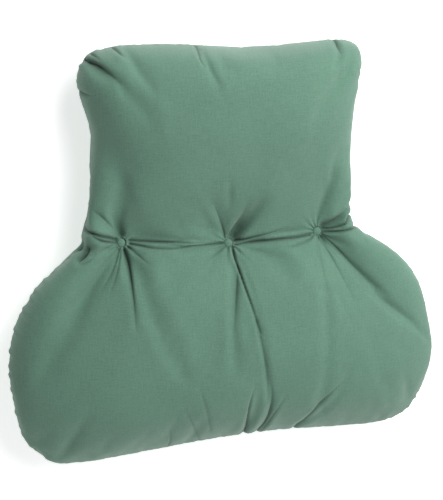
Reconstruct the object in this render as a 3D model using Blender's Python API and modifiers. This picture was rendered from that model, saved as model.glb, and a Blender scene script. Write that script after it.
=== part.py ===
"""A back support cushion with arm wings, lying on its back with its buttoned face up.

A face panel and a back panel of plain cotton are sewn together round the edge and filled
with fibre. Three covered buttons, pulled through the filling, draw in the waist.

Units are metres and +Z is up. +Y points to the head end, and the origin is on the surface
that the cushion lies on, below the middle of its outline.
"""

import math
from collections import namedtuple

import bmesh
import bpy
import numpy as np

MM = 0.001

# Driving dimensions
WIDTH = 660 * MM             # across the arm wings
LENGTH = 630 * MM            # from the lower edge to the head end
SEAM_HEIGHT = 60 * MM        # the edge seam above the surface
FACE_CROWN = 88 * MM         # the fullest place of the face above the seam
BACK_CROWN = 78 * MM         # the same for the back, before the surface flattens it
ROUNDNESS = 1.7              # of a cross-section: 1 is an ellipse, more is fuller at the sides
CREASE_DRAW = 0.42           # share of the face's height that the waist crease takes
PIT_DRAW = 0.52              # share of what is left that a button takes
BACK_DRAW = 0.45             # the back's creases and pits beside the face's
PIT_RADIUS = 34 * MM         # how fast the cloth rises round a button
SEAT_RADIUS = 10.5 * MM      # flat cloth under a button
SEAT_BLEND = 8 * MM          # where that flat runs out into the pit
BUTTON_RADIUS = 7 * MM
BUTTON_RISE = 4.5 * MM       # from the button's rim to its top
BUTTON_RIM = 1.6 * MM        # height of the rim's side
BUTTON_FOOT = 0.93           # share of the button's radius that its flat underside takes
BUTTON_BULGE = 0.7           # share of the rim's height where the button is widest
BUTTON_DOME = ((0.0, 1.0), (0.40, 0.92), (0.75, 0.66), (0.95, 0.26))  # shares of its radius and rise
FOLD_FADE = 30 * MM          # folds die out where the face is lower than this
GAP = 0.3 * MM               # between a button and the cloth under it

# Mesh sizes
GRID_STEP = 5 * MM           # of the grid that the filling's height is worked out on
GRID_MARGIN = 3 * GRID_STEP  # round the outline
ROUNDS = 500                 # of working out the skin's height
OVER = 1.96                  # how far each of them overshoots
SPREAD_ROUNDS = 8            # of carrying its slope out past the seam
OUTLINE_STEPS = 12           # of the curve between two of the outline's points
SEAM_STEPS = 264             # along the seam
RINGS = 56                   # from the middle to the seam, on each side
MIDDLE = (0, -20 * MM)       # where the rings start
CUSHION_TRIANGLES = 10400
BUTTON_STEPS = 20
TINY = 0.01 * MM             # points closer than this are one

# The edge seam, clockwise from the head's left side, in millimetres. x is measured from the
# middle and y from the lower edge.
OUTLINE = (
    ("left ear, lower side", -216, 554),
    ("left ear, outer side", -218, 578),
    ("left ear, upper side", -206, 605),
    ("left ear, top", -184, 619),
    ("head, left", -138, 625),
    ("head, left of the dip", -60, 624),
    ("head, dip", 26, 617),
    ("head, right", 118, 621),
    ("right ear, top", 176, 625),
    ("right ear, upper side", 204, 614),
    ("right ear, outer side", 212, 583),
    ("right ear, lower side", 203, 556),
    ("head panel, right side", 195, 492),
    ("head panel, right, low", 189, 440),
    ("above the right neck", 188, 392),
    ("right neck", 191, 350),
    ("right shoulder, inner", 207, 332),
    ("right shoulder", 250, 309),
    ("right wing, upper side", 287, 279),
    ("right wing, upper bend", 311, 240),
    ("right wing, outer side", 324, 180),
    ("right wing, tip", 330, 134),
    ("right wing, lower bend", 318, 81),
    ("right wing, lower side", 295, 41),
    ("right wing, underside", 256, 20),
    ("lower edge, right", 190, 17),
    ("lower edge, middle", 60, 20),
    ("lower edge, left", -60, 11),
    ("lower edge, far left", -162, 0),
    ("left wing, underside", -250, -4),
    ("left wing, lower side", -290, 18),
    ("left wing, lower bend", -315, 53),
    ("left wing, outer side", -326, 112),
    ("left wing, tip", -330, 155),
    ("left wing, upper bend", -320, 210),
    ("left wing, upper side", -290, 266),
    ("left shoulder", -241, 308),
    ("left shoulder, inner", -213, 330),
    ("left neck", -214, 346),
    ("above the left neck", -203, 388),
    ("head panel, left, low", -200, 450),
    ("head panel, left side", -197, 492),
    ("below the left ear", -206, 525),
)

# The buttons' places, in millimetres from the middle of the outline.
Button = namedtuple("Button", "name x y")
BUTTONS = (
    Button("tuft_button_left", -160, 26),
    Button("tuft_button_middle", 0, 17),
    Button("tuft_button_right", 138, 27),
)

# The crease across the waist, from neck to neck, in millimetres from the middle.
CREASE = ((-213, 44), (-160, 26), (-85, 23), (0, 17), (70, 23), (138, 27), (199, 35))
CREASE_ABOVE = 27 * MM       # how fast the head panel swells up from the crease
CREASE_BELOW = 42 * MM       # how fast the lower panel does
CREASE_BEND = 3 * MM         # how sharply the cloth turns at the bottom of the crease

# The main folds of the face, in millimetres from the middle. Each is a trough with raised
# shoulders. It runs from one end to the other, bowed sideways to its left at half way, and its
# depth changes evenly along it.
Fold = namedtuple("Fold", "name x1 y1 x2 y2 bow width depth1 depth2")
FOLDS = (
    Fold("middle button, down, sharp", 6, 6, 47, -215, 8, 10, 13, 3),
    Fold("middle button, down, soft", 1, -4, -2, -165, 4, 10, 8, 2),
    Fold("left button, down, sharp", -159, 18, -152, -85, 2, 9, 9, 2),
    Fold("left button, down, broad", -153, 8, -80, -165, 5, 20, 6, 3),
    Fold("left button, down and out", -168, 17, -204, -92, 6, 11, 7, 2),
    Fold("left button, towards the wing", -173, 22, -214, -28, 0, 10, 5, 2),
    Fold("left shoulder", -180, 22, -222, 8, -4, 9, 6, 9),
    Fold("right button, towards the wing", 145, 20, 222, -82, 7, 14, 9, 2),
    Fold("right button, down and out", 139, 16, 184, -78, 6, 11, 8, 2),
    Fold("right button, down, broad", 134, -20, 138, -228, -4, 22, 7, 3),
    Fold("middle button, up and left", -4, 28, -50, 116, -6, 12, 10, 1),
    Fold("middle button, up and right", 5, 28, 42, 104, 5, 15, 11, 1),
    Fold("left button, up", -166, 40, -178, 88, -2, 12, 8, 1),
    Fold("right button, up to the neck", 139, 38, 190, 100, -9, 12, 11, 5),
    Fold("right button, to the neck", 145, 35, 196, 56, -4, 8, 8, 7),
    Fold("lower edge, under the middle", 22, -266, 31, -192, -3, 9, 6, 2),
    Fold("lower edge, right of that", 44, -262, 55, -206, -3, 9, 5, 2),
    Fold("lower edge, right", 110, -266, 172, -180, -9, 10, 6, 2),
    Fold("lower edge, left", -64, -274, -46, -236, 0, 10, 4, 1),
    Fold("head, left of the dip", -44, 300, -28, 230, 5, 8, 5, 1),
    Fold("left ear", -210, 296, -172, 270, -3, 10, 8, 2),
    Fold("left ear, head side", -150, 306, -138, 288, 0, 8, 4, 1),
    Fold("right ear", 165, 306, 160, 284, 0, 8, 5, 1),
    Fold("right ear, outer", 207, 256, 182, 246, 0, 9, 5, 1),
    Fold("head, left side", -204, 196, -178, 160, 0, 11, 4, 1),
)

COTTON_GREEN = (0.135, 0.235, 0.180)
COTTON_ROUGHNESS = 0.92


def catmull_rom(points, steps):
    """Return a smooth closed curve through the points."""
    before = np.roll(points, 1, axis=0)
    after = np.roll(points, -1, axis=0)
    beyond = np.roll(points, -2, axis=0)
    curve = []
    for t in np.arange(steps) / steps:
        curve.append(0.5 * (2 * points + (after - before) * t
                            + (2 * before - 5 * points + 4 * after - beyond) * t ** 2
                            + (3 * points - before - 3 * after + beyond) * t ** 3))
    return np.stack(curve, axis=1).reshape(-1, 2)


def even_steps(curve, count):
    """Return count points, evenly spaced along a closed curve."""
    closed = np.vstack([curve, curve[:1]])
    lengths = np.linalg.norm(np.diff(closed, axis=0), axis=1)
    travelled = np.concatenate([[0], np.cumsum(lengths)])
    wanted = np.arange(count) * travelled[-1] / count
    return np.column_stack([np.interp(wanted, travelled, closed[:, axis]) for axis in (0, 1)])


def seam_line(count):
    """Return the edge seam as evenly spaced points that fill WIDTH and LENGTH exactly."""
    points = np.array([[x, y] for _, x, y in OUTLINE], dtype=float)
    curve = even_steps(catmull_rom(points, OUTLINE_STEPS), count)
    low, high = curve.min(axis=0), curve.max(axis=0)
    return (curve - (low + high) / 2) * np.array([WIDTH, LENGTH]) / (high - low)


def line_distance(points, line, closed):
    """Return each point's distance to a line of straight pieces, and the side it lies on."""
    ends = np.roll(line, -1, axis=0) if closed else line[1:]
    starts = line if closed else line[:-1]
    nearest = np.full(len(points), np.inf)
    side = np.zeros(len(points))
    for start, end in zip(starts, ends):
        along = end - start
        share = np.clip((points - start) @ along / (along @ along), 0, 1)
        offset = points - start - share[:, None] * along
        distance = np.hypot(offset[:, 0], offset[:, 1])
        closer = distance < nearest
        turn = along[0] * (points[:, 1] - start[1]) - along[1] * (points[:, 0] - start[0])
        side = np.where(closer, np.sign(turn), side)
        nearest = np.where(closer, distance, nearest)
    return nearest, side


def inside_line(points, line):
    """Return which points lie inside a closed line."""
    inside = np.zeros(len(points), dtype=bool)
    for (x1, y1), (x2, y2) in zip(line, np.roll(line, -1, axis=0)):
        if y1 == y2:
            continue
        crosses = (points[:, 1] > y1) != (points[:, 1] > y2)
        at_x = x1 + (points[:, 1] - y1) * (x2 - x1) / (y2 - y1)
        inside ^= crosses & (points[:, 0] < at_x)
    return inside


class Filling:
    """How full the cushion is at any place: 0 at the seam and 1 at its fullest.

    The cloth is taken as a skin that is held at the seam and pushed up evenly, and the
    cushion's cross-section is the round one that goes with it.
    """

    def __init__(self, seam):
        self.seam = seam
        self.low = seam.min(axis=0) - GRID_MARGIN
        counts = np.ceil((seam.max(axis=0) + GRID_MARGIN - self.low) / GRID_STEP).astype(int) + 1
        xs = self.low[0] + GRID_STEP * np.arange(counts[0])
        ys = self.low[1] + GRID_STEP * np.arange(counts[1])
        grid = np.stack(np.meshgrid(xs, ys, indexing="ij"), axis=-1).reshape(-1, 2)
        inside = inside_line(grid, seam).reshape(counts)
        distance = line_distance(grid, seam, True)[0].reshape(counts)
        push = self.relax(inside)
        # Push over distance runs smoothly up to the seam, so that is what is kept.
        known = inside & (distance > 1.5 * GRID_STEP)
        self.slope = self.spread(np.where(known, push / np.maximum(distance, GRID_STEP), 0), known)
        self.top = push.max()

    @staticmethod
    def relax(inside):
        """Solve for the skin's height, by successive over-relaxation."""
        push = np.zeros(inside.shape)
        rows, columns = np.indices(inside.shape)
        for _ in range(ROUNDS):
            for colour in (0, 1):
                mask = inside & ((rows + columns) % 2 == colour)
                around = (np.roll(push, 1, 0) + np.roll(push, -1, 0)
                          + np.roll(push, 1, 1) + np.roll(push, -1, 1) + GRID_STEP ** 2) / 4
                push[mask] += OVER * (around - push)[mask]
        return push

    @staticmethod
    def spread(field, known):
        """Carry the known values outwards over the cells next to them."""
        known = known.astype(float)
        for _ in range(SPREAD_ROUNDS):
            total, weight = field * known, known.copy()
            for axis in (0, 1):
                for step in (1, -1):
                    total = total + np.roll(field * known, step, axis)
                    weight = weight + np.roll(known, step, axis)
            fresh = (known == 0) & (weight > 0)
            field = np.where(fresh, total / np.maximum(weight, 1), field)
            known = np.where(fresh, 1.0, known)
        return field

    def at(self, points):
        """Return the fullness at each point."""
        place = (points - self.low) / GRID_STEP
        cell = np.clip(np.floor(place).astype(int), 0, np.array(self.slope.shape) - 2)
        (i, j), (u, v) = cell.T, (place - cell).T
        slope = ((1 - u) * (1 - v) * self.slope[i, j] + u * (1 - v) * self.slope[i + 1, j]
                 + (1 - u) * v * self.slope[i, j + 1] + u * v * self.slope[i + 1, j + 1])
        distance = line_distance(points, self.seam, True)[0]
        push = np.clip(slope * distance / self.top, 0, 1)
        return np.sqrt(1 - (1 - push) ** ROUNDNESS)


def smooth_step(value):
    """Ease from 0 to 1 as the value does."""
    value = np.clip(value, 0, 1)
    return value * value * (3 - 2 * value)


def fold_lift(points):
    """Return how far the folds raise the face at each point."""
    lift = np.zeros(len(points))
    for fold in FOLDS:
        start, end = np.array([[fold.x1, fold.y1], [fold.x2, fold.y2]]) * MM
        along = end - start
        length = np.hypot(*along)
        forward = along / length
        share = np.clip((points - start) @ forward / length, 0, 1)
        sideways = np.array([-forward[1], forward[0]])
        bowed = 4 * fold.bow * MM * share * (1 - share)
        nearest = start + share[:, None] * along + bowed[:, None] * sideways
        across = np.hypot(*(points - nearest).T) / (fold.width * MM)
        depth = (fold.depth1 + (fold.depth2 - fold.depth1) * share) * MM
        lift -= depth * (1 - across ** 2) * np.exp(-across ** 2)
    return lift


def button_places():
    """Return the buttons' places in metres."""
    return np.array([[button.x, button.y] for button in BUTTONS]) * MM


def drawn_height(points, filling, crown, draw):
    """Return a panel's height from the seam, with the waist crease and the buttons' pits."""
    away, side = line_distance(points, np.array(CREASE) * MM, False)
    away = np.hypot(away, CREASE_BEND) - CREASE_BEND
    reach = np.where(side > 0, CREASE_ABOVE, CREASE_BELOW)
    height = crown * filling.at(points) * (1 - draw * CREASE_DRAW * np.exp(-away / reach))
    for place in button_places():
        outside = np.maximum(np.hypot(*(points - place).T) - SEAT_RADIUS, 0)
        height = height * (1 - draw * PIT_DRAW * np.exp(-outside / PIT_RADIUS))
    return height


def seat_heights(filling):
    """Return the height above the seam of the flat cloth under each button."""
    return drawn_height(button_places(), filling, FACE_CROWN, 1.0)


def face_height(points, filling):
    """Return the face's height above the seam."""
    height = drawn_height(points, filling, FACE_CROWN, 1.0)
    near_seam = smooth_step(height / FOLD_FADE)
    height = height + near_seam * fold_lift(points)
    for place, seat in zip(button_places(), seat_heights(filling)):
        away = np.hypot(*(points - place).T)
        height = seat + (height - seat) * smooth_step((away - SEAT_RADIUS) / SEAT_BLEND)
    return height


def back_depth(points, filling):
    """Return the back's depth below the seam, flat where it lies on the surface."""
    return np.minimum(drawn_height(points, filling, BACK_CROWN, BACK_DRAW), SEAM_HEIGHT)


def cotton(name):
    """Make the green cotton of the panels and the buttons."""
    material = bpy.data.materials.new(name)
    material.use_nodes = True
    shader = material.node_tree.nodes["Principled BSDF"]
    shader.inputs["Base Color"].default_value = (*COTTON_GREEN, 1)
    shader.inputs["Roughness"].default_value = COTTON_ROUGHNESS
    shader.inputs["Metallic"].default_value = 0
    material.diffuse_color = (*COTTON_GREEN, 1)
    return material


def make_cushion(collection, filling):
    """Draw a sphere out to the seam, and raise its rings to the panels' heights."""
    seam = seam_line(SEAM_STEPS)
    middle = np.array(MIDDLE)
    shape = bmesh.new()
    bmesh.ops.create_uvsphere(shape, u_segments=SEAM_STEPS, v_segments=2 * RINGS, radius=1)
    mesh = bpy.data.meshes.new("cushion")
    shape.to_mesh(mesh)
    shape.free()

    ball = np.empty(len(mesh.vertices) * 3)
    mesh.vertices.foreach_get("co", ball)
    ball = ball.reshape(-1, 3)
    spoke = np.rint(-np.arctan2(ball[:, 1], ball[:, 0]) * SEAM_STEPS / math.tau).astype(int)
    reach = np.hypot(ball[:, 0], ball[:, 1])
    reach = (reach + np.arcsin(np.minimum(reach, 1)) * 2 / math.pi) / 2
    flat = middle + reach[:, None] * (seam[spoke % SEAM_STEPS] - middle)
    on_seam = np.abs(ball[:, 2]) < TINY
    height = np.where(ball[:, 2] > 0, face_height(flat, filling), -back_depth(flat, filling))
    height = np.where(on_seam, 0, height) + SEAM_HEIGHT
    mesh.vertices.foreach_set("co", np.column_stack([flat, height]).ravel())
    mesh.update()

    cushion = bpy.data.objects.new("cushion", mesh)
    collection.objects.link(cushion)
    thin_out(cushion, filling)
    cushion.data.shade_smooth()
    cushion.data.materials.append(cotton("green cotton"))
    return cushion


def thin_out(cushion, filling):
    """Keep faces where the cloth bends, and few where it is plain."""
    triangles = sum(len(polygon.vertices) - 2 for polygon in cushion.data.polygons)
    plain = cushion.vertex_groups.new(name="away from seam and buttons")
    for vertex in cushion.data.vertices:
        away = min(math.hypot(vertex.co.x - x, vertex.co.y - y) for x, y in button_places())
        on_seam = abs(vertex.co.z - SEAM_HEIGHT) < GAP
        if not on_seam and (away > SEAT_RADIUS + SEAT_BLEND or vertex.co.z < SEAM_HEIGHT):
            plain.add([vertex.index], 1, "REPLACE")
    thinner = cushion.modifiers.new("Thin out", "DECIMATE")
    thinner.vertex_group = plain.name
    thinner.ratio = CUSHION_TRIANGLES / triangles
    thinner.use_collapse_triangulate = True
    evaluated = cushion.evaluated_get(bpy.context.evaluated_depsgraph_get())
    thinned = bpy.data.meshes.new_from_object(evaluated)
    cushion.modifiers.clear()
    cushion.data = thinned
    seats = seat_heights(filling) + SEAM_HEIGHT
    for vertex in thinned.vertices:
        if vertex.co.z < GAP:
            vertex.co.z = 0
        for (x, y), seat in zip(button_places(), seats):
            if vertex.co.z > SEAM_HEIGHT and math.hypot(vertex.co.x - x, vertex.co.y - y) < SEAT_RADIUS:
                vertex.co.z = seat


def make_button(collection, button, seat):
    """Turn a low domed button, and set it on its flat of cloth."""
    foot = SEAM_HEIGHT + seat + GAP
    profile = [(share, BUTTON_RIM + rise * BUTTON_RISE) for share, rise in BUTTON_DOME]
    profile += [(1.0, BUTTON_BULGE * BUTTON_RIM), (BUTTON_FOOT, 0.0), (0.0, 0.0)]
    mesh = bpy.data.meshes.new(button.name)
    mesh.from_pydata([(share * BUTTON_RADIUS, 0, height) for share, height in profile],
                     [(i, i + 1) for i in range(len(profile) - 1)], [])
    thing = bpy.data.objects.new(button.name, mesh)
    thing.location = (button.x * MM, button.y * MM, foot)
    collection.objects.link(thing)
    turned = thing.modifiers.new("Turn", "SCREW")
    turned.steps = turned.render_steps = BUTTON_STEPS
    turned.use_merge_vertices = True
    turned.merge_threshold = TINY
    turned.use_smooth_shade = True
    mesh.materials.append(cotton("covered button"))
    return thing


def main():
    for thing in list(bpy.data.objects):
        bpy.data.objects.remove(thing, do_unlink=True)
    collection = bpy.data.collections.new("back support cushion")
    bpy.context.scene.collection.children.link(collection)
    filling = Filling(seam_line(SEAM_STEPS))
    make_cushion(collection, filling)
    for button, seat in zip(BUTTONS, seat_heights(filling)):
        make_button(collection, button, seat)


main()
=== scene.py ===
"""The looks of the back support cushion: its cotton cover, its folds and its covered buttons.

Lengths are in metres unless a name or a heading says millimetres. The cushion lies on its
back with its buttoned face up, +Y towards the head end and +X to the right.
"""
import math
from collections import namedtuple

import bpy
import numpy as np
from mathutils import Matrix, Vector


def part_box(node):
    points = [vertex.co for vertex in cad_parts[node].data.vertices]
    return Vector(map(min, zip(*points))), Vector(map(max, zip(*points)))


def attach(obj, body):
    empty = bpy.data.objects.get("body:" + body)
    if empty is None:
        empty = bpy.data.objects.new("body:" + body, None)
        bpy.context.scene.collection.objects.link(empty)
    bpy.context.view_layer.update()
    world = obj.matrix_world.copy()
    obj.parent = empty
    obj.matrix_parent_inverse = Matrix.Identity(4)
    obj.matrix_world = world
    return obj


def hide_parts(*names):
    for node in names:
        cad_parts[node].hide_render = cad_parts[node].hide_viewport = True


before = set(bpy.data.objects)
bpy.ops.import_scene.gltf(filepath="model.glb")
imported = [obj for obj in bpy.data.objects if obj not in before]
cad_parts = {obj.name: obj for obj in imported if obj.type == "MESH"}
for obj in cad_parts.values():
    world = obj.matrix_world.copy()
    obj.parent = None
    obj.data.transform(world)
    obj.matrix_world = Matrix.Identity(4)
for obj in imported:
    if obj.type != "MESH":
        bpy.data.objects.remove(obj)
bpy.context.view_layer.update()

MM = 0.001
NEARLY = 0.01 * MM                    # closer than this is the same place

# What the solids say
GAP = 0.3 * MM                        # between a button and the cloth under it
SEAM_HEIGHT = 60 * MM                 # of the edge seam
ON_SEAM = 0.005 * MM                  # a vertex this near the seam's height is on it
SEAM_HUB = -20 * MM                   # the y that the seam runs once round
SEAM_PIECES = 4                       # that each of the solid's sides is cut into
BUTTON_NODES = ("tuft_button_left", "tuft_button_middle", "tuft_button_right")

# The filled shape before the buttons draw it in, and how they do
FACE_CROWN = 86 * MM                  # the fullest place of the face above the seam
BACK_CROWN = 78 * MM                  # the same for the back, before the surface flattens it
ROUNDNESS = 1.7                       # of a cross-section: 1 is an ellipse
HEAD_ROUNDNESS = 5.5                  # the same at the head's end, which is squarer
HEAD_FROM, HEAD_TO = 140 * MM, 260 * MM
CREASE_DRAW = 0.42                    # share of the face's height that the waist crease takes
PIT_DRAW = 0.52                       # share of what is left that a button takes
BACK_DRAW = 0.45                      # the back's crease and pits beside the face's
PIT_RADIUS = 34 * MM
SEAT_RADIUS = 8 * MM
SEAT_BLEND = 8 * MM
CREASE = ((-213, 44), (-160, 26), (-85, 23), (0, 17), (70, 23), (138, 27), (199, 35))  # millimetres
CREASE_ABOVE = 27 * MM
CREASE_BELOW = 42 * MM
CREASE_BEND = 2 * MM
SLOPE_DROP = 0.28                     # share of its height that the head panel's long slope loses
SLOPE_REACH = 72 * MM
HEAD_END = 312 * MM                   # the filling is pushed up towards the head's end
HEAD_HALF_WIDTH = 210 * MM
HEAD_RISE = 9 * MM
HEAD_EDGE = 13 * MM
HEAD_REACH = 110 * MM
FOLD_FADE = 30 * MM                   # folds die out where the face is lower than this

# The two cut panels
ACROSS = 140                          # squares of each panel's mesh
ALONG = 120
EVENING = 40                          # rounds of evening out the squares
GRID_STEP = 5 * MM                    # of the grid that the filling is worked out on
GRID_MARGIN = 3                       # steps round the outline
GRID_EDGE = 1.5                       # steps from the seam within which the grid is too coarse
ROUNDS = 500                          # of working out the filling
OVER = 1.96                           # how far each round overshoots, to arrive sooner
SPREAD_ROUNDS = 8                     # of carrying it outwards over the seam
PANEL_CORNERS = ((-207, 298), (205, 304), (302, -268), (-298, -294))  # millimetres, from the left ear
SPARE_ACROSS = 0.038                  # how much larger the cloth is cut than what it covers, in the middle
SPARE_ALONG = 0.042
SPARE_AT_SEAM = 0.35                  # share of that at the seam, where the cloth is smoother
CLOTH_REACH = 26 * MM                 # how far the settling may move the cloth
FLAT = 0.5 * MM                       # a place this low rests on the surface
RIDGE_ROUNDS = 6                      # of rounding its ridges
PLAIN_ROUNDS = 45                     # of evening out the places that the photo shows plain
ROUNDING = 0.5                        # how far each round goes
LEAST_WEIGHT = 0.02                   # a vertex with less is left as it is
BACK_BELOW = 12 * MM                  # the back is thinned from this far below the seam
FACES_LEFT = 0.59                     # share of all the cover's faces that are left then

# The cotton's settings as Blender's cloth, under the filling's light pressure
CLOTH = {"quality": 6, "mass": 0.17, "tension_stiffness": 11, "compression_stiffness": 11,
         "shear_stiffness": 3.7, "bending_stiffness": 0.1, "uniform_pressure_force": 4}
DRAWN_IN_FRAME = 14                   # when the seam and the buttons have drawn the cloth in
LAST_FRAME = 26                       # when it has settled

# Those places, in millimetres: the left wing, the head's left side and its right side
PLAIN_PLACES = ((-232, -120, 75), (-135, 165, 70), (165, 190, 40))

# Folds of the face, in millimetres. Each is a trough with raised shoulders, bowed sideways to
# its left at half way. Its depth changes evenly from the first end to the second.
Fold = namedtuple("Fold", "name x1 y1 x2 y2 bow width depth1 depth2")

# Broad folds that the cloth is started with, so that it gathers where the real one does
BROAD_FOLDS = (
    Fold("middle button, down, sharp", 10, 2, 47, -215, 8, 7, 4, 3),
    Fold("middle button, down, soft", 4, -20, -7, -150, -2, 10, 6, 2),
    Fold("left button, down, sharp", -157, 18, -150, -92, 0, 8, 6, 2),
    Fold("left button, down, broad", -146, -2, -84, -162, 3, 18, 8, 6),
    Fold("left button, down and out", -168, 17, -190, -36, 5, 8, 2.5, 0.5),
    Fold("left button, towards the wing", -173, 22, -204, 0, 0, 8, 2, 0.5),
    Fold("left shoulder", -182, 20, -222, 6, -4, 9, 3.5, 5),
    Fold("right button, towards the wing", 145, 20, 204, -34, 5, 10, 3, 0.5),
    Fold("right button, down and out", 139, 16, 180, -66, 6, 10, 4, 1),
    Fold("right button, down, broad", 138, -56, 128, -228, 6, 12, 6, 4),
    Fold("middle button, up and left", -4, 28, -34, 92, -5, 9, 4, 0.5),
    Fold("middle button, up and right", 8, 28, 48, 88, 4, 13, 11, 1),
    Fold("left button, up", -166, 42, -178, 92, -2, 14, 5, 2),
    Fold("right button, up to the neck", 150, 36, 198, 76, -4, 8, 4, 5),
    Fold("right button, to the neck", 147, 35, 198, 56, -4, 8, 6, 7),
    Fold("lower edge, under the middle", 22, -276, 31, -192, -3, 9, 6, 2),
    Fold("lower edge, right of that", 44, -272, 55, -206, -3, 9, 5, 2),
    Fold("lower edge, right", 108, -274, 172, -180, -9, 10, 6, 2),
    Fold("lower edge, left", -64, -284, -46, -240, 0, 10, 2.5, 1),
    Fold("head, left of the dip", -44, 300, -28, 250, 3, 8, 1.4, 0.3),
    Fold("left ear", -210, 296, -172, 270, -3, 10, 8, 2),
    Fold("left ear, head side", -150, 306, -138, 288, 0, 8, 4, 1),
    Fold("right ear", 165, 306, 160, 284, 0, 8, 5, 1),
    Fold("right ear, outer", 207, 256, 182, 246, 0, 9, 5, 1),
    Fold("head, left side", -204, 196, -180, 162, 0, 11, 2.6, 0.6),
)
SEED = 0.55                           # how much of their depth the cloth starts with
PRESS = 0.4                           # and how much is pressed in once it has settled

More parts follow.
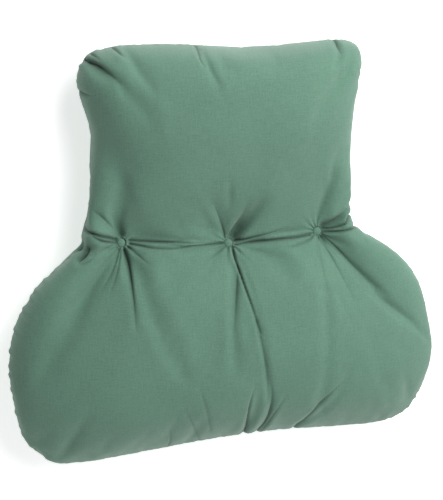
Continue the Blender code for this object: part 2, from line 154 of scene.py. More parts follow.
# Creases, pressed in once the cloth has settled, in millimetres. Each runs smoothly through
# three places. Its width is how fast it rises to each side, and its depth changes from place
# to place. The narrow ones have a sharp bottom and the wide ones a round one.
Crease = namedtuple("Crease", "name x1 y1 x2 y2 x3 y3 width depth1 depth2 depth3")
CREASE_STEPS = 24
CREASE_REACH = 6                      # widths within which a crease has an effect
SHOULDER = 0.22                       # height of a crease's raised sides beside its depth
SHOULDER_REACH = 3                    # how many widths out they are
SHARPER = 1.45                        # how much deeper the creases are than the cloth alone makes them
CREASES = (
    Crease("waist, left to middle, upper", -147, 29, -94, 26, -30, 20, 2.4, 5.0, 4.6, 0.5),
    Crease("waist, left to middle, lower", -147, 24, -89, 18, -8, 18, 2.2, 5.0, 3.6, 4.2),
    Crease("waist, left to middle, short", -100, 23, -72, 19, -45, 18, 1.8, 0.0, 2.2, 0.0),
    Crease("waist, middle to right, upper", 9, 20, 42, 26, 94, 38, 2.4, 6.0, 4.4, 0.0),
    Crease("waist, middle to right, lower", 10, 14, 56, 20, 127, 23, 2.3, 4.0, 5.6, 4.4),
    Crease("waist, right, faint", 68, 11, 98, 11, 131, 20, 2.4, 0.0, 2.0, 3.0),
    Crease("left button to the neck, upper", -167, 31, -188, 40, -216, 48, 2.4, 6.5, 6.0, 6.5),
    Crease("left button to the neck, lower", -168, 27, -190, 34, -206, 42, 2.2, 4.4, 5.4, 3.0),
    Crease("left neck, flap above", -172, 48, -186, 64, -200, 76, 2.6, 1.6, 2.2, 0.6),
    Crease("left neck, pocket", -210, 22, -217, 14, -225, 7, 3.2, 4.0, 6.0, 4.0),
    Crease("left neck, under the pocket", -226, 0, -212, 4, -200, 13, 2.6, 1.0, 2.4, 1.6),
    Crease("left button to the pocket", -170, 24, -187, 19, -206, 12, 2.4, 1.4, 1.8, 1.8),
    Crease("left button, up", -161, 37, -167, 54, -175, 84, 6.5, 5.5, 3.5, 0.0),
    Crease("left button, fan, outer", -167, 18, -188, -2, -206, -16, 2.6, 2.0, 1.0, 0.0),
    Crease("left button, fan, second", -164, 15, -178, -14, -198, -42, 2.6, 2.6, 1.6, 0.0),
    Crease("left button, fan, third", -161, 14, -171, -16, -187, -50, 2.6, 2.4, 1.6, 0.0),
    Crease("left button, down, sharp", -156, 16, -152, -22, -150, -94, 2.4, 5.4, 4.8, 0.4),
    Crease("left button, down, hollow", -144, -16, -124, -80, -104, -140, 11.0, 0.6, 3.0, 1.4),
    Crease("left button, down and in", -150, 19, -139, 10, -122, -6, 2.6, 4.2, 2.6, 0.0),
    Crease("middle button, down, sharp", 6, 10, 14, -30, 36, -110, 1.8, 6.5, 6.5, 2.5),
    Crease("middle button, down, far", 30, -92, 42, -157, 47, -216, 2.8, 2.5, 3.2, 0.5),
    Crease("middle button, down, soft", 9, -18, 3, -50, -6, -116, 2.4, 0.6, 2.4, 0.0),
    Crease("middle button, down and in", 9, 11, 20, 0, 34, -13, 2.6, 1.4, 1.0, 0.0),
    Crease("middle button, down and left", -6, 11, -22, 3, -46, -10, 2.4, 2.6, 1.8, 0.0),
    Crease("middle button, up and left", -4, 26, -14, 54, -29, 84, 2.6, 5.0, 1.8, 0.0),
    Crease("middle button, straight up", -2, 70, -4, 96, -8, 128, 6.0, 0.0, 1.6, 0.0),
    Crease("middle button, up, right of that", 6, 27, 18, 54, 26, 92, 6.0, 5.0, 2.6, 0.0),
    Crease("middle button, up and right", 8, 25, 28, 50, 50, 84, 7.0, 6.5, 3.4, 0.0),
    Crease("right neck, under the head", 146, 34, 168, 46, 192, 66, 4.4, 5.0, 4.5, 1.5),
    Crease("right neck, upper", 146, 31, 168, 36, 196, 50, 2.4, 6.0, 5.0, 4.4),
    Crease("right neck, lower", 146, 26, 168, 28, 200, 33, 2.4, 5.0, 5.0, 5.0),
    Crease("right neck, between", 160, 33, 174, 33, 188, 38, 1.8, 0.0, 2.4, 0.0),
    Crease("right button, to the wing, upper", 146, 20, 168, -1, 206, -44, 2.6, 3.2, 1.8, 0.0),
    Crease("right button, to the wing, lower", 142, 17, 158, -10, 186, -78, 2.6, 3.8, 2.4, 0.0),
    Crease("right button, between those", 144, 19, 162, -5, 190, -38, 2.4, 2.4, 1.6, 0.0),
    Crease("right button, down", 138, 14, 139, -20, 142, -64, 3.2, 1.6, 1.2, 0.0),
    Crease("lower edge, middle", 27, -288, 20, -226, 28, -184, 3.0, 5.0, 3.4, 0.0),
    Crease("lower edge, right of that", 45, -287, 54, -230, 48, -180, 2.8, 5.0, 3.6, 0.0),
    Crease("lower edge, slanting", 52, -280, 60, -244, 76, -206, 2.6, 3.0, 2.4, 0.0),
    Crease("lower edge, left, short", -94, -290, -96, -272, -102, -250, 2.6, 2.2, 1.2, 0.0),
    Crease("lower edge, left, slanting", -46, -288, -64, -252, -86, -206, 3.6, 2.0, 1.2, 0.0),
    Crease("lower edge, left, upper", -36, -262, -50, -215, -62, -178, 3.8, 1.2, 1.2, 0.0),
    Crease("lower edge, right, long", 106, -287, 134, -228, 176, -186, 3.4, 4.0, 3.6, 0.0),
    Crease("left ear, long", -210, 296, -188, 284, -160, 258, 3.6, 8.0, 5.0, 0.0),
    Crease("left ear, notch", -198, 308, -193, 300, -186, 292, 2.6, 6.0, 3.6, 0.0),
    Crease("left ear, head side", -165, 312, -158, 303, -149, 297, 2.4, 4.0, 3.0, 0.0),
    Crease("left side, notch", -222, 250, -212, 247, -198, 243, 2.4, 5.0, 3.0, 0.0),
    Crease("head, dip, first", -43, 310, -48, 292, -40, 282, 2.6, 2.6, 1.6, 0.0),
    Crease("head, dip, second", -38, 298, -34, 276, -18, 248, 4.0, 0.8, 1.2, 0.0),
    Crease("right ear, notch", 168, 312, 166, 302, 167, 292, 2.4, 4.0, 2.4, 0.0),
    Crease("right side, notch", 208, 270, 200, 266, 190, 266, 2.6, 5.0, 2.6, 0.0),
)
NARROW = 4 * MM                       # creases narrower than this get a finer mesh
NEAR_CREASE = 1.25                    # within this many of their widths
DARK_DEPTH = 5 * MM                   # a crease this deep gets the full painted shade at its bottom
DARK_WIDTH = 3                        # and less of it where it is wider than this, in millimetres
DARK_POWER = 1.5                      # shallow creases get much less painted shade
CREASE_FADE = 12 * MM                 # the height over which creases fade out past the seam
CREASE_AT_SEAM = 0.7                  # how far along that fading the seam is

# The cloth round each button, which stands up in gathers and sinks the button
GATHERS = 11
GATHER_DRIFT = 2.1                    # how uneven they are
GATHER_REACH = 22 * MM
COLLAR_RADIUS = 5.6 * MM
COLLAR_STEEP = 1.8 * MM
COLLAR_HEIGHT = 2.6 * MM
COLLAR_WAVE = 0.55                    # share of the height that changes from gather to gather
SHADOW_RADIUS = 7.6 * MM              # painted shadow in the gathers at each button's upper right
SHADOW_BEARING = math.radians(35)
SHADOW_ALL_ROUND = 0.25               # share of it that is there on every side
FINER_ROUND_BUTTONS = 2.6             # collar radii within which the mesh is finer
BUTTON_SHARE = 0.9                    # the covered button beside the solid, which its gathers overlap
BUTTON_TOP = 4.4 * MM                 # its height
BUTTON_FOOT = 1.2 * MM                # the part of that below its rim
BUTTON_BULGE = 0.9                    # 1 is an ellipse, less is flatter on top
BUTTON_PLEATS = 17                    # round the rim
PLEAT_DRIFT = 1.3                     # how uneven they are
PLEAT_AT_RIM = 6                      # the higher, the nearer to the rim they stay
PLEAT_IN = 0.1 * MM                   # how far they go in
PLEAT_UP = 0.12 * MM                  # and up

# Small puckers along the seam: a little everywhere, more about these places, in millimetres
Pucker = namedtuple("Pucker", "name x y reach height")
PUCKERS = (
    Pucker("left wing", -318, -140, 130, 1.8),
    Pucker("left wing, shoulder", -262, -10, 60, 1.4),
    Pucker("right wing", 326, -130, 120, 1.7),
    Pucker("right wing, lower corner", 292, -232, 45, 2.8),
    Pucker("right neck", 205, 60, 40, 1.6),
    Pucker("left neck", -214, 60, 50, 1.2),
    Pucker("left ear", -208, 290, 30, 1.2),
    Pucker("lower edge", 30, -275, 110, 1.0),
)
PUCKER_ALL = 0.35 * MM
PUCKER_FADE = 9 * MM                  # how fast they fade away from the seam
PUCKER_REACH = 4 * PUCKER_FADE        # above and below the seam; past it they are left out
PUCKER_DRIFT = 1.7                    # how unevenly they follow each other
PUCKER_DRIFT_LENGTH = 71 * MM         # along the seam, for one radian of that
PUCKER_WAVES = ((11.3, 0.5), (17.9, 0.6), (29.7, 0.4))  # length in millimetres and share of the height
SEAM_GROOVE = 1.4 * MM                # how far the stitches pull the seam in
SEAM_WIDTH = 2.2 * MM

# The cotton's pattern
THREAD_PITCH = 0.9 * MM
GRAIN_SIZE = 2.2 * MM                 # of the threads' changes of thickness and shade
SLUB_SIZE = 1.6 * MM                  # across a thick thread
SLUB_STRETCH = 0.09                   # its width beside its length
FADING_SIZE = 110 * MM
WEAVE_DEPTH = 0.12 * MM

# The look of the picture
CAMERA_AIM = Vector((-4 * MM, 2 * MM, SEAM_HEIGHT))
CAMERA_DISTANCE = 2.366
CAMERA_LEFT = 13.7                    # degrees to the left of the face's normal
CAMERA_ABOVE = 12.05                  # degrees towards the head end
CAMERA_ROLL = -0.48                   # degrees
LENS = 113.65                         # millimetres on a 36 mm frame
SURROUND = 0.22                       # strength of the studio's own light
FLOOR_SIZE = 8
FLOOR_GLOW = 0.62

Softbox = namedtuple("Softbox", "name place power")
SOFTBOX_SIDE = 1.1
SOFTBOXES = (
    Softbox("key", (0.6, 1.6, 1.6), 25),
    Softbox("right fill", (1.8, 0.2, 1.0), 9),
    Softbox("front fill", (0.7, 0.6, 1.6), 20),
    Softbox("low fill", (-0.4, -2.4, 0.6), 18),
)


def linear(hex_colour):
    """Turn an sRGB hex colour into linear red, green, blue and full alpha."""
    values = [int(hex_colour[i:i + 2], 16) / 255 for i in (1, 3, 5)]
    return tuple(v / 12.92 if v <= 0.04045 else ((v + 0.055) / 1.055) ** 2.4 for v in values) + (1,)


def smooth_step(value):
    """Ease from 0 to 1 as the value does."""
    value = np.clip(value, 0, 1)
    return value * value * (3 - 2 * value)


# Working on meshes
def mesh_points(mesh):
    """Return a mesh's vertices as rows of x, y, z."""
    points = np.empty(len(mesh.vertices) * 3)
    mesh.vertices.foreach_get("co", points)
    return points.reshape(-1, 3)


def set_points(mesh, points):
    """Move a mesh's vertices."""
    mesh.vertices.foreach_set("co", points.ravel())
    mesh.update()


def select_only(*things):
    """Select these objects alone, the first one active."""
    bpy.ops.object.select_all(action="DESELECT")
    for thing in things:
        thing.select_set(True)
    bpy.context.view_layer.objects.active = things[0]


# The solids' own measures
def seam_ring():
    """Return the edge seam of the solid, clockwise, as evenly spaced places."""
    points = mesh_points(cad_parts["cushion"].data)
    on_seam = np.abs(points[:, 2] - SEAM_HEIGHT) < ON_SEAM
    ring = np.unique(points[on_seam][:, :2].round(6), axis=0)
    bearing = np.arctan2(ring[:, 1] - SEAM_HUB, ring[:, 0])
    ring = ring[np.argsort(-bearing)]
    before, after, beyond = (np.roll(ring, shift, axis=0) for shift in (1, -1, -2))
    pieces = []
    for t in np.arange(SEAM_PIECES) / SEAM_PIECES:
        pieces.append(0.5 * (2 * ring + (after - before) * t
                             + (2 * before - 5 * ring + 4 * after - beyond) * t ** 2
                             + (3 * ring - before - 3 * after + beyond) * t ** 3))
    return np.stack(pieces, axis=1).reshape(-1, 2)


def button_seats():
    """Return each button's place and the height of the cloth under it."""
    seats = []
    for name in BUTTON_NODES:
        low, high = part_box(name)
        seats.append(((low[0] + high[0]) / 2, (low[1] + high[1]) / 2, low[2] - GAP))
    return np.array(seats)


def line_distance(points, line, closed):
    """Return each point's distance to a line of straight pieces, its side and its share of the way."""
    ends = np.roll(line, -1, axis=0) if closed else line[1:]
    starts = line if closed else line[:-1]
    nearest = np.full(len(points), np.inf)
    side = np.zeros(len(points))
    way = np.zeros(len(points))
    for number, (start, end) in enumerate(zip(starts, ends)):
        along = end - start
        share = np.clip((points - start) @ along / (along @ along), 0, 1)
        offset = points - start - share[:, None] * along
        distance = np.hypot(offset[:, 0], offset[:, 1])
        closer = distance < nearest
        turn = along[0] * (points[:, 1] - start[1]) - along[1] * (points[:, 0] - start[0])
        side = np.where(closer, np.sign(turn), side)
        way = np.where(closer, (number + share) / len(starts), way)
        nearest = np.where(closer, distance, nearest)
    return nearest, side, way


def inside_line(points, line):
    """Return which points lie inside a closed line."""
    inside = np.zeros(len(points), dtype=bool)
    for (x1, y1), (x2, y2) in zip(line, np.roll(line, -1, axis=0)):
        if y1 != y2:
            crosses = (points[:, 1] > y1) != (points[:, 1] > y2)
            at_x = x1 + (points[:, 1] - y1) * (x2 - x1) / (y2 - y1)
            inside ^= crosses & (points[:, 0] < at_x)
    return inside


class Filling:
    """How full the cushion is at any place: 0 at the seam and 1 at its fullest.

    The cloth is taken as a skin that is held at the seam and pushed up evenly.
    """

    def __init__(self, seam):
        self.seam = seam
        margin = GRID_MARGIN * GRID_STEP
        self.low = seam.min(axis=0) - margin
        counts = np.ceil((seam.max(axis=0) + margin - self.low) / GRID_STEP).astype(int) + 1
        xs = self.low[0] + GRID_STEP * np.arange(counts[0])
        ys = self.low[1] + GRID_STEP * np.arange(counts[1])
        grid = np.stack(np.meshgrid(xs, ys, indexing="ij"), axis=-1).reshape(-1, 2)
        inside = inside_line(grid, seam).reshape(counts)
        distance = line_distance(grid, seam, True)[0].reshape(counts)
        push = self.relax(inside)
        known = inside & (distance > GRID_EDGE * GRID_STEP)
        self.slope = self.spread(np.where(known, push / np.maximum(distance, GRID_STEP), 0), known)
        self.top = push.max()

    @staticmethod
    def relax(inside):
        """Solve for the skin's height, by successive over-relaxation."""
        push = np.zeros(inside.shape)
        rows, columns = np.indices(inside.shape)
        for _ in range(ROUNDS):
            for colour in (0, 1):
                mask = inside & ((rows + columns) % 2 == colour)
                around = (np.roll(push, 1, 0) + np.roll(push, -1, 0)
                          + np.roll(push, 1, 1) + np.roll(push, -1, 1) + GRID_STEP ** 2) / 4
                push[mask] += OVER * (around - push)[mask]
        return push

    @staticmethod
    def spread(field, known):
        """Carry the known values outwards over the cells next to them."""
        known = known.astype(float)
        for _ in range(SPREAD_ROUNDS):
            total, weight = field * known, known.copy()
            for axis in (0, 1):
                for step in (1, -1):
                    total = total + np.roll(field * known, step, axis)
                    weight = weight + np.roll(known, step, axis)
            fresh = (known == 0) & (weight > 0)
            field = np.where(fresh, total / np.maximum(weight, 1), field)
            known = np.where(fresh, 1.0, known)
        return field

    def at(self, points):
        """Return the fullness at each point."""
        place = (points - self.low) / GRID_STEP
        cell = np.clip(np.floor(place).astype(int), 0, np.array(self.slope.shape) - 2)
        (i, j), (u, v) = cell.T, (place - cell).T
        slope = ((1 - u) * (1 - v) * self.slope[i, j] + u * (1 - v) * self.slope[i + 1, j]
                 + (1 - u) * v * self.slope[i, j + 1] + u * v * self.slope[i + 1, j + 1])
        push = np.clip(slope * line_distance(points, self.seam, True)[0] / self.top, 0, 1)
        headward = smooth_step((points[:, 1] - HEAD_FROM) / (HEAD_TO - HEAD_FROM))
        return np.sqrt(1 - (1 - push) ** (ROUNDNESS + (HEAD_ROUNDNESS - ROUNDNESS) * headward))


def fold_lift(points, folds):
    """Return how far the folds raise the cloth at each point."""
    lift = np.zeros(len(points))
    for fold in folds:
        start, end = np.array([[fold.x1, fold.y1], [fold.x2, fold.y2]]) * MM
        along = end - start
        length = np.hypot(*along)
        forward = along / length
        share = np.clip((points - start) @ forward / length, 0, 1)
        sideways = np.array([-forward[1], forward[0]])
        bowed = 4 * fold.bow * MM * share * (1 - share)
        nearest = start + share[:, None] * along + bowed[:, None] * sideways
        across = np.hypot(*(points - nearest).T) / (fold.width * MM)
        depth = (fold.depth1 + (fold.depth2 - fold.depth1) * share) * MM
        lift -= depth * (1 - across ** 2) * np.exp(-across ** 2)
    return lift


def drawn_height(points, fullness, crown, draw, seats):
    """Return a panel's height from the seam, with the waist crease and the buttons' pits."""
    away, side, _ = line_distance(points, np.array(CREASE) * MM, False)
    away = np.hypot(away, CREASE_BEND) - CREASE_BEND
    reach = np.where(side > 0, CREASE_ABOVE, CREASE_BELOW)
    height = crown * fullness * (1 - draw * CREASE_DRAW * np.exp(-away / reach))
    for seat in seats:
        outside = np.maximum(np.hypot(*(points - seat[:2]).T) - SEAT_RADIUS, 0)
        height = height * (1 - draw * PIT_DRAW * np.exp(-outside / PIT_RADIUS))
    return height


def head_slope(points, fullness):
    """Return how far the head panel rises at its end and drops on its long way to the waist."""
    away, side, _ = line_distance(points, np.array(CREASE) * MM, False)
    share = np.exp(-away / SLOPE_REACH) - np.exp(-away / CREASE_ABOVE)
    drop = np.where(side > 0, SLOPE_DROP * FACE_CROWN * fullness * share, 0)
    below = np.maximum(HEAD_END - points[:, 1], 0)
    middle = np.sqrt(np.maximum(1 - (points[:, 0] / HEAD_HALF_WIDTH) ** 2, 0))
    rise = HEAD_RISE * smooth_step(below / HEAD_EDGE) * np.exp(-(below / HEAD_REACH) ** 2) * middle
    return rise - drop


# The cushion
def panel_places(seam):
    """Lay a panel's squares out inside the seam, and return their corners as an array."""
    corner = [int(np.argmin(np.hypot(*(seam - np.array(place) * MM).T))) for place in PANEL_CORNERS]

    def edge(first, last, count, backwards):
        """Return evenly spaced places along the seam between two of its points."""
        last += len(seam) if last <= first else 0
        run = seam[np.arange(first, last + 1) % len(seam)]
        travelled = np.concatenate([[0], np.cumsum(np.hypot(*np.diff(run, axis=0).T))])
        wanted = np.linspace(0, travelled[-1], count + 1)
        places = np.column_stack([np.interp(wanted, travelled, run[:, k]) for k in (0, 1)])
        return places[::-1] if backwards else places

    top = edge(corner[0], corner[1], ACROSS, False)
    right = edge(corner[1], corner[2], ALONG, True)
    bottom = edge(corner[2], corner[3], ACROSS, True)
    left = edge(corner[3], corner[0], ALONG, False)
    u = np.linspace(0, 1, ACROSS + 1)[:, None, None]
    v = np.linspace(0, 1, ALONG + 1)[None, :, None]
    places = ((1 - v) * bottom[:, None] + v * top[:, None] + (1 - u) * left[None] + u * right[None]
              - (1 - u) * (1 - v) * bottom[0] - u * (1 - v) * bottom[-1]
              - (1 - u) * v * top[0] - u * v * top[-1])
    for _ in range(EVENING):
        places[1:-1, 1:-1] = (places[2:, 1:-1] + places[:-2, 1:-1]
                              + places[1:-1, 2:] + places[1:-1, :-2]) / 4
    return places


def cloth_lengths(places, height):
    """Return the cloth's own lengths across and along a filled panel, from its middle."""
    surface = np.dstack([places, height])
    across = np.zeros(places.shape[:2])
    along = np.zeros(places.shape[:2])
    across[1:] = np.cumsum(np.linalg.norm(np.diff(surface, axis=0), axis=2), axis=0)
    along[:, 1:] = np.cumsum(np.linalg.norm(np.diff(surface, axis=1), axis=2), axis=1)
    across -= across[ACROSS // 2] - places[ACROSS // 2, :, 0]
    along -= along[:, ALONG // 2][:, None] - places[:, ALONG // 2, 1][:, None]
    return np.dstack([across, along])


def cut_panel(name, places, height, faces_up):
    """Cut one panel: a plane of squares, laid over the filling, with its cloth's own lengths."""
    bpy.ops.mesh.primitive_grid_add(x_subdivisions=ACROSS, y_subdivisions=ALONG, size=2)
    panel = bpy.context.object
    panel.name = name
    mesh = panel.data
    unit = mesh_points(mesh)
    i = np.rint((unit[:, 0] + 1) / 2 * ACROSS).astype(int)
    j = np.rint((unit[:, 1] + 1) / 2 * ALONG).astype(int)
    sign = 1 if faces_up else -1
    set_points(mesh, np.column_stack([places[i, j], SEAM_HEIGHT + sign * height[i, j]]))
    corner_vertex = np.empty(len(mesh.loops), dtype=int)
    mesh.loops.foreach_get("vertex_index", corner_vertex)
    lengths = cloth_lengths(places, height)[i, j][corner_vertex]
    while mesh.uv_layers:
        mesh.uv_layers.remove(mesh.uv_layers[0])
    layer = mesh.uv_layers.new(name="cloth")
    layer.uv.foreach_set("vector", lengths.ravel())
    if not faces_up:
        select_only(panel)
        bpy.ops.object.mode_set(mode="EDIT")
        bpy.ops.mesh.select_all(action="SELECT")
        bpy.ops.mesh.flip_normals()
        bpy.ops.object.mode_set(mode="OBJECT")
    return panel


def sew(face, back):
    """Join the two panels along the seam."""
    select_only(face, back)
    bpy.ops.object.join()
    bpy.ops.object.mode_set(mode="EDIT")
    bpy.ops.mesh.select_all(action="SELECT")
    bpy.ops.mesh.remove_doubles(threshold=NEARLY)
    bpy.ops.object.mode_set(mode="OBJECT")
    face.name = face.data.name = "cushion_cover"
    return face


def settle(cover, start, drawn, held):
    """Let the cloth settle while the seam and the buttons draw it in."""
    set_points(cover.data, start)
    cover.shape_key_add(name="cut")
    key = cover.shape_key_add(name="drawn in")
    key.data.foreach_set("co", drawn.ravel())
    for value, moment in ((0, 1), (1, DRAWN_IN_FRAME)):
        key.value = value
        key.keyframe_insert("value", frame=moment)
    group = cover.vertex_groups.new(name="held")
    group.add(np.nonzero(held)[0].tolist(), 1, "REPLACE")
    cloth = cover.modifiers.new("Settle", "CLOTH")
    settings = cloth.settings
    settings.use_pressure = True
    for name, value in CLOTH.items():
        setattr(settings, name, value)
    settings.vertex_group_mass = group.name
    settings.effector_weights.gravity = 0
    cloth.collision_settings.use_collision = False
    cloth.point_cache.frame_start = 1
    cloth.point_cache.frame_end = LAST_FRAME
    for moment in range(1, LAST_FRAME + 1):
        bpy.context.scene.frame_set(moment)
    evaluated = cover.evaluated_get(bpy.context.evaluated_depsgraph_get())
    settled = mesh_points(evaluated.data)
    cover.modifiers.clear()
    cover.shape_key_clear()
    cover.vertex_groups.remove(group)
    cover.animation_data_clear()
    return settled


def capped(points, towards, most):
    """Hold each moved point within a distance of where it was meant to be."""
    move = towards - points
    length = np.linalg.norm(move, axis=1, keepdims=True)
    return points + move * np.minimum(1, most / np.maximum(length, NEARLY))


def make_cushion():
    """Cut, sew and fill the cover, let it settle, and press its fine creases in."""
    seam = seam_ring()
    seats = button_seats()
    filling = Filling(seam[::SEAM_PIECES])
    places = panel_places(seam)
    flat = places.reshape(-1, 2)
    full = filling.at(flat).reshape(places.shape[:2])
    full[0] = full[-1] = 0
    full[:, 0] = full[:, -1] = 0
    face = cut_panel("face", places, FACE_CROWN * full, True)
    back = cut_panel("back", places, np.minimum(BACK_CROWN * full, SEAM_HEIGHT), False)
    cover = sew(face, back)

    filled = mesh_points(cover.data)
    flat = filled[:, :2]
    on_face = filled[:, 2] > SEAM_HEIGHT + NEARLY
    on_back = filled[:, 2] < SEAM_HEIGHT - NEARLY
    fullness = filling.at(flat)
    full_height = FACE_CROWN * fullness
    fade = smooth_step(full_height / FOLD_FADE)
    folds = fade * fold_lift(flat, BROAD_FOLDS)

    start = filled.copy()
    start[:, 2] += np.where(on_face, SEED * folds, 0)
    spare = SPARE_AT_SEAM + (1 - SPARE_AT_SEAM) * fullness
    start[:, 0] *= 1 + SPARE_ACROSS * spare
    start[:, 1] *= 1 + SPARE_ALONG * spare

    height = drawn_height(flat, fullness, FACE_CROWN, 1.0, seats) + folds
    for seat in seats:
        away = np.hypot(*(flat - seat[:2]).T)
        level = seat[2] - SEAM_HEIGHT
        height = level + (height - level) * smooth_step((away - SEAT_RADIUS) / SEAT_BLEND)
    depth = np.minimum(drawn_height(flat, fullness, BACK_CROWN, BACK_DRAW, seats), SEAM_HEIGHT)
    drawn = filled.copy()
    drawn[:, 2] = SEAM_HEIGHT + np.where(on_face, height, 0) - np.where(on_back, depth, 0)

    near_seat = np.min([np.hypot(*(flat - seat[:2]).T) for seat in seats], axis=0) < SEAT_RADIUS
    held = (on_face & near_seat) | (drawn[:, 2] < FLAT) | ~(on_face | on_back)
    drawn = capped(drawn, settle(cover, start, drawn, held), CLOTH_REACH)
    drawn[:, 2] += np.where(on_face, head_slope(flat, fullness), 0)
    drawn[:, 2] = np.maximum(drawn[:, 2], 0)
    set_points(cover.data, drawn)
    folded = on_face & (full_height > FOLD_FADE / 2)
    round_ridges(cover, folded.astype(float), RIDGE_ROUNDS)
    plain = np.zeros(len(flat))
    for x, y, reach in PLAIN_PLACES:
        away = np.hypot(*(flat - np.array([x, y]) * MM).T) / (reach * MM)
        plain = np.maximum(plain, np.exp(-away ** 2))
    round_ridges(cover, plain * folded, PLAIN_ROUNDS)

    finer = cover.modifiers.new("Finer", "SUBSURF")
    finer.levels = finer.render_levels = 1
    select_only(cover)
    bpy.ops.object.modifier_apply(modifier=finer.name)
    thin_back(cover, filling)
    refine(cover, seats)
    shape_details(cover, seam, seats)
    cover.data.shade_smooth()
    cover.data.materials.clear()
    cover.data.materials.append(cotton_plain_weave("cotton plain weave"))
    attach(cover, "root")
    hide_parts("cushion")


def round_ridges(cover, weights, rounds):
    """Round the ridges between the folds, which the settled squares leave sharp."""
    group = cover.vertex_groups.new(name="folds")
    for number in np.nonzero(weights > LEAST_WEIGHT)[0].tolist():
        group.add([number], weights[number], "REPLACE")
    rounder = cover.modifiers.new("Round the ridges", "SMOOTH")
    rounder.factor = ROUNDING
    rounder.iterations = rounds
    rounder.vertex_group = group.name
    select_only(cover)
    bpy.ops.object.modifier_apply(modifier=rounder.name)


def thin_back(cover, filling):
    """Leave the back fewer faces: it lies on the surface and is plain.

    Its flat is bulged while its faces are thinned, because flat faces would be joined across the
    cushion's necks.
    """
    points = mesh_points(cover.data)
    bulged = SEAM_HEIGHT - BACK_CROWN * filling.at(points[:, :2])
    points[:, 2] = np.where(points[:, 2] < FLAT, np.minimum(points[:, 2], bulged), points[:, 2])
    set_points(cover.data, points)
    group = cover.vertex_groups.new(name="back")
    group.add(np.nonzero(points[:, 2] < SEAM_HEIGHT - BACK_BELOW)[0].tolist(), 1, "REPLACE")
    thinner = cover.modifiers.new("Thin the back", "DECIMATE")
    thinner.vertex_group = group.name
    thinner.ratio = FACES_LEFT
    select_only(cover)
    bpy.ops.object.modifier_apply(modifier=thinner.name)
    points = mesh_points(cover.data)
    points[:, 2] = np.maximum(points[:, 2], 0)
    set_points(cover.data, points)


def crease_line(crease):
    """Return a crease's line: a smooth one through its three places."""
    first, middle, last = np.array([crease[1:3], crease[3:5], crease[5:7]]) * MM
    t = np.linspace(0, 1, CREASE_STEPS + 1)[:, None]
    pull = 2 * middle - (first + last) / 2
    return (1 - t) ** 2 * first + 2 * t * (1 - t) * pull + t ** 2 * last


def by_crease(points, widths):
    """Yield each crease with the points near it, their distances in widths, and their share of the way."""
    for crease in CREASES:
        line = crease_line(crease)
        reach = widths * crease.width * MM
        near = np.all((points > line.min(axis=0) - reach) & (points < line.max(axis=0) + reach), axis=1)
        near = np.nonzero(near)[0]
        distance, _, share = line_distance(points[near], line, False)
        yield crease, near, distance / (crease.width * MM), share


def refine(cover, seats):
    """Halve the mesh's squares near the creases and the buttons."""
    mesh = cover.data
    centres = np.empty(len(mesh.polygons) * 3)
    mesh.polygons.foreach_get("center", centres)
    centres = centres.reshape(-1, 3)
    flat = centres[:, :2]
    chosen = np.zeros(len(flat), dtype=bool)
    for crease, near, across, _ in by_crease(flat, NEAR_CREASE):
        chosen[near[(across < NEAR_CREASE) & (crease.width * MM < NARROW)]] = True
    for seat in seats:
        chosen |= np.hypot(*(flat - seat[:2]).T) < FINER_ROUND_BUTTONS * COLLAR_RADIUS
    chosen &= centres[:, 2] > SEAM_HEIGHT
    select_only(cover)
    bpy.ops.object.mode_set(mode="EDIT")
    bpy.ops.mesh.select_mode(type="FACE")
    bpy.ops.mesh.select_all(action="DESELECT")
    bpy.ops.object.mode_set(mode="OBJECT")
    mesh.polygons.foreach_set("select", chosen)
    bpy.ops.object.mode_set(mode="EDIT")
    bpy.ops.mesh.subdivide(number_cuts=1, smoothness=0)
    bpy.ops.object.mode_set(mode="OBJECT")


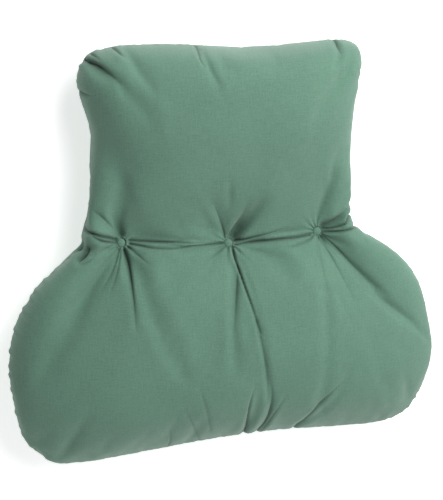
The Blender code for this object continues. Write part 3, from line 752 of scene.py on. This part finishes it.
def shape_details(cover, seam, seats):
    """Push the creases, the gathers and the seam's puckers in along the cloth's own normals, and keep the
    painted shade of the creases and the gathers on the cover.
    """
    mesh = cover.data
    points = mesh_points(mesh)
    flat = points[:, :2]
    normals = np.array([normal.vector for normal in mesh.vertex_normals])
    above = points[:, 2] - SEAM_HEIGHT
    face = smooth_step(CREASE_AT_SEAM + above / CREASE_FADE)

    lift = PRESS * fold_lift(flat, BROAD_FOLDS) * smooth_step(above / FOLD_FADE)
    # Painted shade: how much the cotton's colour is darkened at each vertex, at the creases' bottoms and
    # round the buttons
    shadow = np.zeros(len(points))
    for crease, near, across, share in by_crease(flat, CREASE_REACH):
        depth = np.interp(share, (0, 0.5, 1), (crease.depth1, crease.depth2, crease.depth3)) * MM
        sharp = np.exp(-across) if crease.width * MM < NARROW else np.exp(-across ** 2)
        lift[near] += SHARPER * depth * (SHOULDER * np.exp(-(across / SHOULDER_REACH) ** 2) - sharp)
        # Painted shade at the crease's bottom, darker the deeper and narrower the crease is
        narrow = min(1, DARK_WIDTH / crease.width)
        dark = narrow * (depth / DARK_DEPTH) ** DARK_POWER * np.exp(-across ** 2)
        shadow[near] = np.maximum(shadow[near], dark)
    for number, seat in enumerate(seats):
        away = flat - seat[:2]
        radius = np.hypot(*away.T)
        angle = np.arctan2(away[:, 1], away[:, 0])
        wave = np.sin(GATHERS * angle + GATHER_DRIFT * np.sin(2 * angle + number) + number)
        lift += COLLAR_HEIGHT * (1 + COLLAR_WAVE * wave) * np.exp(-(radius / GATHER_REACH) ** 2)
        # Painted shadow in the gathers, strongest at the button's upper right and faint on every other side
        turned = np.maximum(np.cos(angle - SHADOW_BEARING), 0) ** 2
        ring = np.exp(-((radius - SHADOW_RADIUS) / COLLAR_STEEP) ** 2)
        shadow = np.maximum(shadow, (SHADOW_ALL_ROUND + (1 - SHADOW_ALL_ROUND) * turned) * ring)
    away = np.min([np.hypot(*(flat - seat[:2]).T) for seat in seats], axis=0)
    lift *= face * smooth_step((away - COLLAR_RADIUS) / COLLAR_STEEP)

    near = np.nonzero(np.abs(above) < PUCKER_REACH)[0]
    distance, _, share = line_distance(flat[near], seam[::SEAM_PIECES], True)
    distance = np.hypot(distance, above[near])
    height = np.full(len(near), PUCKER_ALL)
    for pucker in PUCKERS:
        reach = np.hypot(*(flat[near] - np.array([pucker.x, pucker.y]) * MM).T) / (pucker.reach * MM)
        height += pucker.height * MM * np.exp(-reach ** 2)
    around = share * np.hypot(*np.diff(seam, axis=0, append=seam[:1]).T).sum()
    wave = np.zeros(len(near))
    for length, part in PUCKER_WAVES:
        drift = PUCKER_DRIFT * np.sin(around / PUCKER_DRIFT_LENGTH + length)
        wave += part * np.sin(2 * math.pi * around / (length * MM) + drift)
    lift[near] += height * wave * np.exp(-distance / PUCKER_FADE)
    lift[near] -= SEAM_GROOVE * np.exp(-distance / SEAM_WIDTH)
    moved = points + normals * lift[:, None]
    moved[:, 2] = np.maximum(moved[:, 2], 0)
    set_points(mesh, moved)
    # The painted shade is kept on the cover for the cotton to darken its colour by
    layer = mesh.attributes.new("painted_shade", "FLOAT", "POINT")
    layer.data.foreach_set("value", np.clip(shadow * face, 0, 1))


# Materials
def add_node(tree, kind, settings=None, inputs=None):
    """Add a node with its settings, and give its inputs values or links."""
    node = tree.nodes.new(kind)
    for name, value in (settings or {}).items():
        setattr(node, name, value)
    for name, value in (inputs or {}).items():
        if isinstance(value, bpy.types.NodeSocket):
            tree.links.new(value, node.inputs[name])
        else:
            node.inputs[name].default_value = value
    return node


def new_material(name):
    """Start a material with its Principled BSDF."""
    material = bpy.data.materials.new(name)
    material.use_nodes = True
    return material, material.node_tree, material.node_tree.nodes["Principled BSDF"]


def cotton_plain_weave(name):
    """Dyed cotton in a plain weave, matt and slightly fuzzy, sage green, darkened by painted shade where the
    mesh carries it: the bottoms of the creases and the gathers round the buttons.
    """
    material, tree, shader = new_material(name)
    cloth = add_node(tree, "ShaderNodeUVMap", {"uv_map": "cloth"}).outputs["UV"]

    # Threads 0.9 mm apart, over and under; the real ones are about half as wide, too fine to show
    apart = add_node(tree, "ShaderNodeSeparateXYZ", inputs={"Vector": cloth})
    threads = []
    for axis in "XY":
        turn = add_node(tree, "ShaderNodeMath", {"operation": "MULTIPLY"},
                        {0: apart.outputs[axis], 1: math.pi / THREAD_PITCH})
        threads.append(add_node(tree, "ShaderNodeMath", {"operation": "SINE"}, {0: turn.outputs[0]}))
    over = add_node(tree, "ShaderNodeMath", {"operation": "MULTIPLY"},
                    {0: threads[0].outputs[0], 1: threads[1].outputs[0]})
    weave = add_node(tree, "ShaderNodeMath", {"operation": "ABSOLUTE"}, {0: over.outputs[0]}).outputs[0]

    # Grain: threads differ a little in thickness and shade
    grain = add_node(tree, "ShaderNodeTexNoise", inputs={
        "Vector": cloth, "Scale": 1 / GRAIN_SIZE, "Detail": 3.0, "Roughness": 0.65}).outputs["Fac"]
    slubs = []
    for stretch in ((1.0, SLUB_STRETCH, 1.0), (SLUB_STRETCH, 1.0, 1.0)):
        stretched = add_node(tree, "ShaderNodeVectorMath", {"operation": "MULTIPLY"}, {0: cloth, 1: stretch})
        slubs.append(add_node(tree, "ShaderNodeTexNoise", inputs={
            "Vector": stretched.outputs[0], "Scale": 1 / SLUB_SIZE, "Detail": 1.0}).outputs["Fac"])
    slub = add_node(tree, "ShaderNodeMath", {"operation": "ADD"}, {0: slubs[0], 1: slubs[1]}).outputs[0]
    # Fading: slow changes of shade over the cloth
    fading = add_node(tree, "ShaderNodeTexNoise", inputs={
        "Vector": cloth, "Scale": 1 / FADING_SIZE, "Detail": 2.0}).outputs["Fac"]

    # The shade is the sum of each pattern times its share, less what brings it to the ramp's middle
    shade = -0.27
    for pattern, share in ((grain, 0.75), (slub, 0.3), (fading, 0.3), (weave, 0.12)):
        shade = add_node(tree, "ShaderNodeMath", {"operation": "MULTIPLY_ADD"},
                         {0: pattern, 1: share, 2: shade}).outputs[0]
    ramp = add_node(tree, "ShaderNodeValToRGB", inputs={"Fac": shade})
    for element, position, colour in zip(ramp.color_ramp.elements, (0.2, 0.8), ("#4c6c5d", "#678c79")):
        element.position = position
        element.color = linear(colour)
    # Painted shade at the bottoms of the narrow creases, where the folded cloth lets hardly any light in,
    # and in the gathers at each button's upper right
    depth = add_node(tree, "ShaderNodeAttribute", {"attribute_name": "painted_shade"}).outputs["Fac"]
    dark = add_node(tree, "ShaderNodeMath", {"operation": "MULTIPLY"}, {0: depth, 1: 0.72}).outputs[0]
    shaded = add_node(tree, "ShaderNodeMix", {"data_type": "RGBA"},
                      {"Factor": dark, 6: ramp.outputs["Color"], 7: linear("#1f3329")})
    tree.links.new(shaded.outputs[2], shader.inputs["Base Color"])

    height = add_node(tree, "ShaderNodeMath", {"operation": "MULTIPLY_ADD"},
                      {0: grain, 1: 1.2, 2: weave}).outputs[0]
    bump = add_node(tree, "ShaderNodeBump",
                    inputs={"Height": height, "Strength": 0.5, "Distance": WEAVE_DEPTH})
    tree.links.new(bump.outputs["Normal"], shader.inputs["Normal"])
    shader.inputs["Roughness"].default_value = 0.92
    shader.inputs["Specular IOR Level"].default_value = 0.2
    shader.inputs["Sheen Weight"].default_value = 0.25
    shader.inputs["Sheen Roughness"].default_value = 0.5
    return material


def lit_acrylic(name):
    """White acrylic lit from below, as a photographer's table: it keeps the shadows faint."""
    material, _, shader = new_material(name)
    shader.inputs["Base Color"].default_value = linear("#eeeeee")
    shader.inputs["Roughness"].default_value = 0.9
    shader.inputs["Emission Color"].default_value = linear("#ffffff")
    shader.inputs["Emission Strength"].default_value = FLOOR_GLOW
    return material


def make_buttons():
    """Cover each button in the cushion's cotton, gathered under its rim."""
    cotton = cotton_plain_weave("cotton over a button")
    for number, name in enumerate(BUTTON_NODES):
        low, high = (np.array(corner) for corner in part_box(name))
        centre, radius = (low + high) / 2, BUTTON_SHARE * (high[0] - low[0]) / 2
        bpy.ops.mesh.primitive_uv_sphere_add(segments=64, ring_count=32, radius=1)
        button = bpy.context.object
        button.name = button.data.name = "covered_" + name.removeprefix("tuft_")
        unit = mesh_points(button.data)
        angle = np.arctan2(unit[:, 1], unit[:, 0])
        out = np.hypot(unit[:, 0], unit[:, 1])
        rise = np.sign(unit[:, 2]) * np.abs(unit[:, 2]) ** BUTTON_BULGE
        drift = PLEAT_DRIFT * np.sin(3 * angle + number)
        pleats = np.sin(BUTTON_PLEATS * angle + drift) * out ** PLEAT_AT_RIM
        places = np.empty_like(unit)
        places[:, 0] = centre[0] + unit[:, 0] * (radius - PLEAT_IN * pleats)
        places[:, 1] = centre[1] + unit[:, 1] * (radius - PLEAT_IN * pleats)
        height = np.where(rise > 0, rise * (BUTTON_TOP - BUTTON_FOOT), rise * BUTTON_FOOT)
        places[:, 2] = low[2] + height + BUTTON_FOOT + PLEAT_UP * pleats
        set_points(button.data, places)
        layer = button.data.uv_layers.active
        layer.name = "cloth"
        corner_vertex = np.empty(len(button.data.loops), dtype=int)
        button.data.loops.foreach_get("vertex_index", corner_vertex)
        layer.uv.foreach_set("vector", places[corner_vertex][:, :2].ravel())
        button.data.shade_smooth()
        button.data.materials.append(cotton)
        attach(button, "root")
        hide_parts(name)


def add_softbox(name, place, power):
    """Add a square white softbox that faces the cushion."""
    lamp = bpy.data.lights.new(name, "AREA")
    lamp.size = SOFTBOX_SIDE
    lamp.energy = power
    softbox = bpy.data.objects.new(name, lamp)
    softbox.location = place
    softbox.rotation_euler = (-softbox.location).to_track_quat("-Z", "Y").to_euler()
    bpy.context.scene.collection.objects.link(softbox)


def make_stage():
    """Set up a pale floor, softboxes, most of their light from the head end, and the camera."""
    bpy.ops.mesh.primitive_plane_add(size=FLOOR_SIZE)
    floor = bpy.context.object
    floor.name = "floor"
    floor.data.materials.append(lit_acrylic("white acrylic"))

    scene = bpy.context.scene
    scene.view_settings.view_transform = "Standard"
    world = bpy.data.worlds.new("studio")
    scene.world = world
    world.use_nodes = True
    world.node_tree.nodes["Background"].inputs["Color"].default_value = (1, 1, 1, 1)
    world.node_tree.nodes["Background"].inputs["Strength"].default_value = SURROUND
    for softbox in SOFTBOXES:
        add_softbox(*softbox)

    left, above = math.radians(CAMERA_LEFT), math.radians(CAMERA_ABOVE)
    back = Vector((-math.sin(left) * math.cos(above), math.sin(above),
                   math.cos(left) * math.cos(above)))
    right = Vector((0, 1, 0)).cross(back).normalized()
    turn = Matrix((right, back.cross(right), back)).transposed()
    turn = turn @ Matrix.Rotation(math.radians(CAMERA_ROLL), 3, "Z")
    camera = bpy.data.objects.new("camera", bpy.data.cameras.new("camera"))
    camera.data.lens = LENS
    camera.matrix_world = Matrix.Translation(CAMERA_AIM + CAMERA_DISTANCE * back) @ turn.to_4x4()
    scene.collection.objects.link(camera)
    scene.camera = camera


bpy.ops.object.select_all(action="DESELECT")
make_cushion()
make_buttons()
make_stage()
